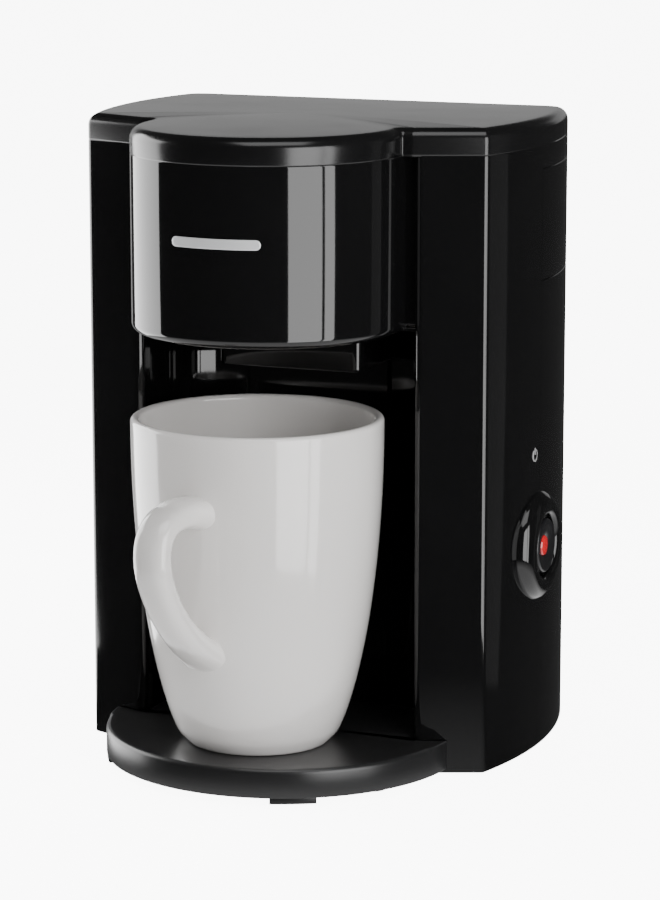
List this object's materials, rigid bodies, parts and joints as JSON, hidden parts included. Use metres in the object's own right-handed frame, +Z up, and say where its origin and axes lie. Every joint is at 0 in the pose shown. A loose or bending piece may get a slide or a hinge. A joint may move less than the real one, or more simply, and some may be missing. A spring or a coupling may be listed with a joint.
{
  "type": "drip coffee maker",
  "caption": "One-cup drip coffee maker with a hinged lid, a round brew head, a side power button and a mug in its bay.",
  "frame": {"origin": "on the table, on the brew axis, the upright line that the coffee falls down", "axes": "+Z up, -Y the front, +X the side with the power button"},
  "size_m": [0.1536, 0.1777, 0.2106],
  "materials": {
    "gloss_black": "polished moulded ABS",
    "satin_black": "satin moulded polypropylene",
    "button_black": "fine satin",
    "tank_black": "moulded polypropylene",
    "rubber": "soft matt rubber",
    "steel": "zinc-plated steel",
    "aluminium": "drawn tube",
    "silicone": "milky silicone",
    "valve_white": "moulded nylon",
    "wire_red": "sleeved wire",
    "ivory": "moulded terminal block",
    "badge_silver": "satin silver",
    "mesh": "fine nylon mesh in a moulded frame",
    "lens_red": "clear red lens",
    "white_ceramic": "clear gloss glaze"
  },
  "bodies": {
    "body": {"front_housing": "gloss_black", "bay_panel": "gloss_black", "outlet_block": "satin_black", "rear_lower_cover": "gloss_black", "rear_upper_cover": "gloss_black", "top_deck": "satin_black", "base_plate": "gloss_black", "bottom_cover": "satin_black", "rubber_feet": "rubber", "cover_screws": "steel", "water_tank": "tank_black", "brew_chamber": "satin_black", "water_tube": "aluminium", "heating_rod": "steel", "heater_clamp": "steel", "thermostat": "steel", "thermal_fuse": "silicone", "inlet_hose": "silicone", "riser_hose": "silicone", "hose_clips": "steel", "check_valve": "valve_white", "spray_nozzle": "satin_black", "switch_bezel": "gloss_black", "switch_body": "satin_black", "switch_wires": "wire_red", "terminal_block": "ivory", "cord_gland": "rubber", "badge": "badge_silver", "hinge_pins": "steel", "button_spring": "steel"},
    "lid": {"lid": "gloss_black", "lid_liner": "satin_black"},
    "basket": {"filter_basket": "satin_black", "filter_mesh": "mesh"},
    "button": {"power_button": "button_black", "lamp_lens": "lens_red"},
    "mug": {"mug": "white_ceramic"}
  },
  "joints": [
    {"name": "lid_hinge", "type": "hinge", "parent": "body", "child": "lid", "pos_m": [0, 0.094, 0.2046], "axis": [-1, 0, 0], "range_deg": [0, 95]},
    {"name": "basket_lift", "type": "slide", "parent": "body", "child": "basket", "axis": [0, 0, 1], "range_m": [0, 0.05]},
    {"name": "button_press", "type": "slide", "parent": "body", "child": "button", "axis": [-1, 0, 0], "range_m": [0, 0.0025], "stiffness_N_per_m": 300, "springref_m": -0.003},
    {"name": "mug_slide", "type": "slide", "parent": "body", "child": "mug", "axis": [0, -1, 0], "range_m": [0, 0.12]}
  ],
  "couplings": [
    {"joint": "basket_lift", "follows": "lid_hinge", "m_per_rad": 0.03}
  ]
}
